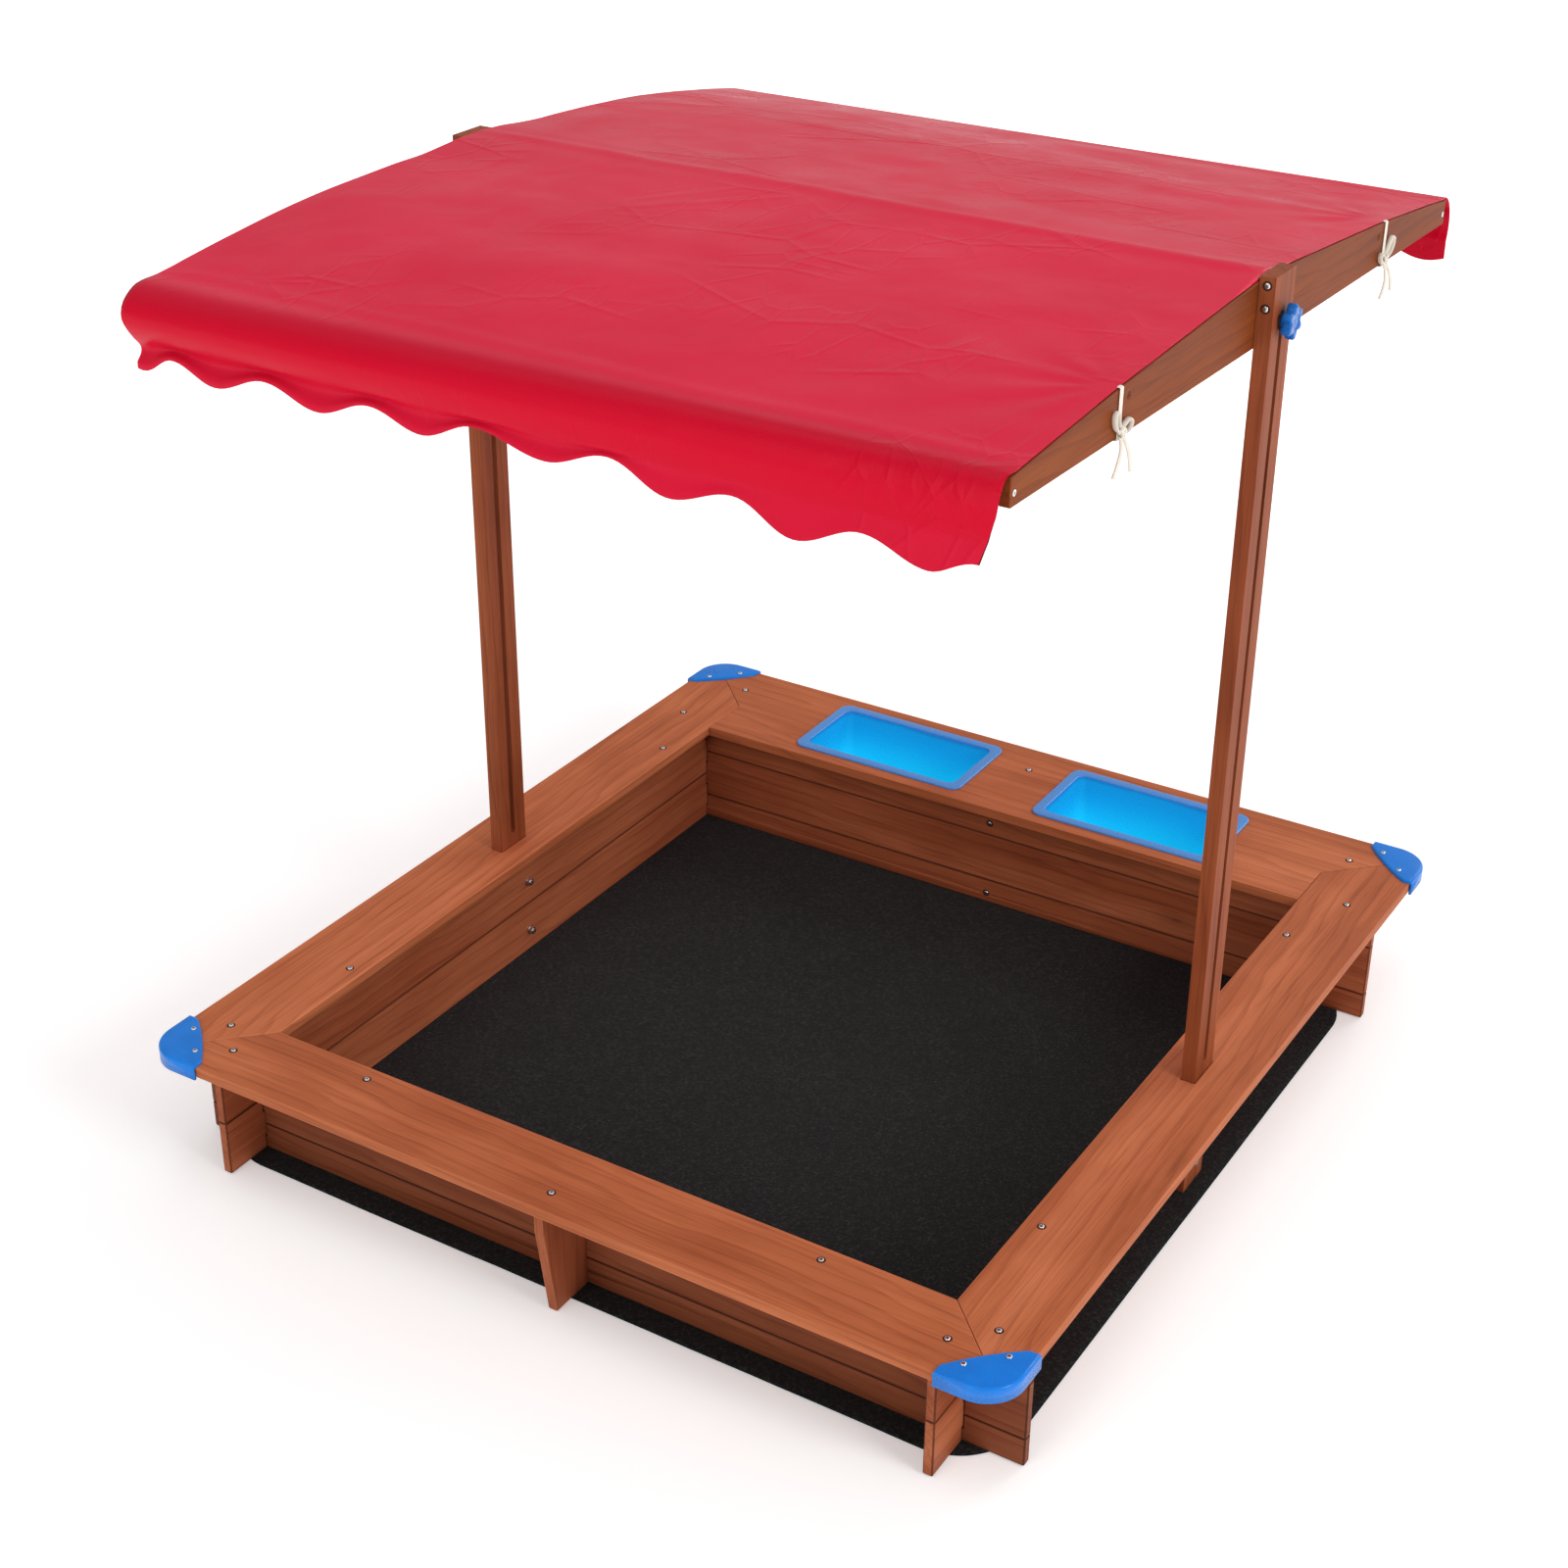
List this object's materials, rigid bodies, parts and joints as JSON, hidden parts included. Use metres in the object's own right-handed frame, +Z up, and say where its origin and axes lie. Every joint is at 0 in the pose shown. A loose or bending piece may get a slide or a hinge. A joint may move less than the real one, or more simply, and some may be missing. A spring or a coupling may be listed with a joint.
{
  "type": "sandbox with cover",
  "caption": "Square wooden sandbox with bench rim, corner caps and drop-in basins, and a slotted-post roof whose red scalloped canopy slides down over the box and tilts.",
  "frame": {"origin": "on the ground, under the middle of the bench ring", "axes": "+X to the right seen from the front, +Y to the back towards the wide bench with the basins, +Z up"},
  "size_m": [1.188, 1.298, 1.164],
  "materials": {
    "bench_wood": "satin stained softwood",
    "frame_wood": "satin stained softwood",
    "cap_plastic": "gloss",
    "basin_plastic": "satin",
    "knob_plastic": "satin",
    "washer_plastic": "matt",
    "canopy_sheet": "coated, glossy",
    "ground_cloth": "non-woven, matt",
    "tie_cotton": "woven tape",
    "zinc": "zinc plated"
  },
  "bodies": {
    "sandbox": {"ground_cloth": "ground_cloth", "front_wall_lower": "frame_wood", "front_wall_middle": "frame_wood", "front_wall_upper": "frame_wood", "back_wall_lower": "frame_wood", "back_wall_middle": "frame_wood", "back_wall_upper": "frame_wood", "left_wall_lower": "frame_wood", "left_wall_upper": "frame_wood", "right_wall_lower": "frame_wood", "right_wall_upper": "frame_wood", "bench_front": "bench_wood", "bench_back": "bench_wood", "bench_left": "bench_wood", "bench_right": "bench_wood", "bench_screws": "zinc", "cap_front_left": "cap_plastic", "cap_front_right": "cap_plastic", "cap_back_left": "cap_plastic", "cap_back_right": "cap_plastic", "cap_screws": "zinc", "bracket_front": "frame_wood", "bracket_back": "frame_wood", "bracket_screws": "zinc", "packer_left": "frame_wood", "packer_right": "frame_wood", "post_left": "frame_wood", "post_right": "frame_wood", "post_bolts": "zinc", "post_washers": "zinc", "post_nuts": "zinc", "post_screws": "zinc"},
    "lift_carriage": {"pivot_bolt_left": "zinc", "pivot_bolt_right": "zinc", "pivot_washers": "washer_plastic"},
    "knob_left": {"knob_left": "knob_plastic"},
    "knob_right": {"knob_right": "knob_plastic"},
    "roof": {"roof_side_left": "frame_wood", "roof_side_right": "frame_wood", "rail_front": "frame_wood", "rail_quarter_front": "frame_wood", "rail_ridge": "frame_wood", "rail_quarter_back": "frame_wood", "rail_back": "frame_wood", "rail_screws": "zinc", "canopy": "canopy_sheet", "tie_front_left": "tie_cotton", "tie_front_right": "tie_cotton", "tie_back_left": "tie_cotton", "tie_back_right": "tie_cotton", "tie_tails_front_left": "tie_cotton", "tie_tails_front_right": "tie_cotton", "tie_tails_back_left": "tie_cotton", "tie_tails_back_right": "tie_cotton"},
    "basin_left": {"basin_left": "basin_plastic"},
    "basin_right": {"basin_right": "basin_plastic"}
  },
  "joints": [
    {"name": "roof_lift", "type": "slide", "parent": "sandbox", "child": "lift_carriage", "axis": [0, 0, 1], "range_m": [-0.842, 0]},
    {"name": "roof_tilt", "type": "hinge", "parent": "lift_carriage", "child": "roof", "pos_m": [0, 0, 1.113], "axis": [1, 0, 0], "range_deg": [0, 35]},
    {"name": "knob_left_turn", "type": "hinge", "parent": "lift_carriage", "child": "knob_left", "pos_m": [-0.54, 0, 1.113], "axis": [-1, 0, 0], "continuous": true},
    {"name": "knob_right_turn", "type": "hinge", "parent": "lift_carriage", "child": "knob_right", "pos_m": [0.54, 0, 1.113], "axis": [1, 0, 0], "continuous": true},
    {"name": "basin_left_lift", "type": "slide", "parent": "sandbox", "child": "basin_left", "axis": [0, 0, 1], "range_m": [0, 0.25]},
    {"name": "basin_right_lift", "type": "slide", "parent": "sandbox", "child": "basin_right", "axis": [0, 0, 1], "range_m": [0, 0.25]}
  ]
}
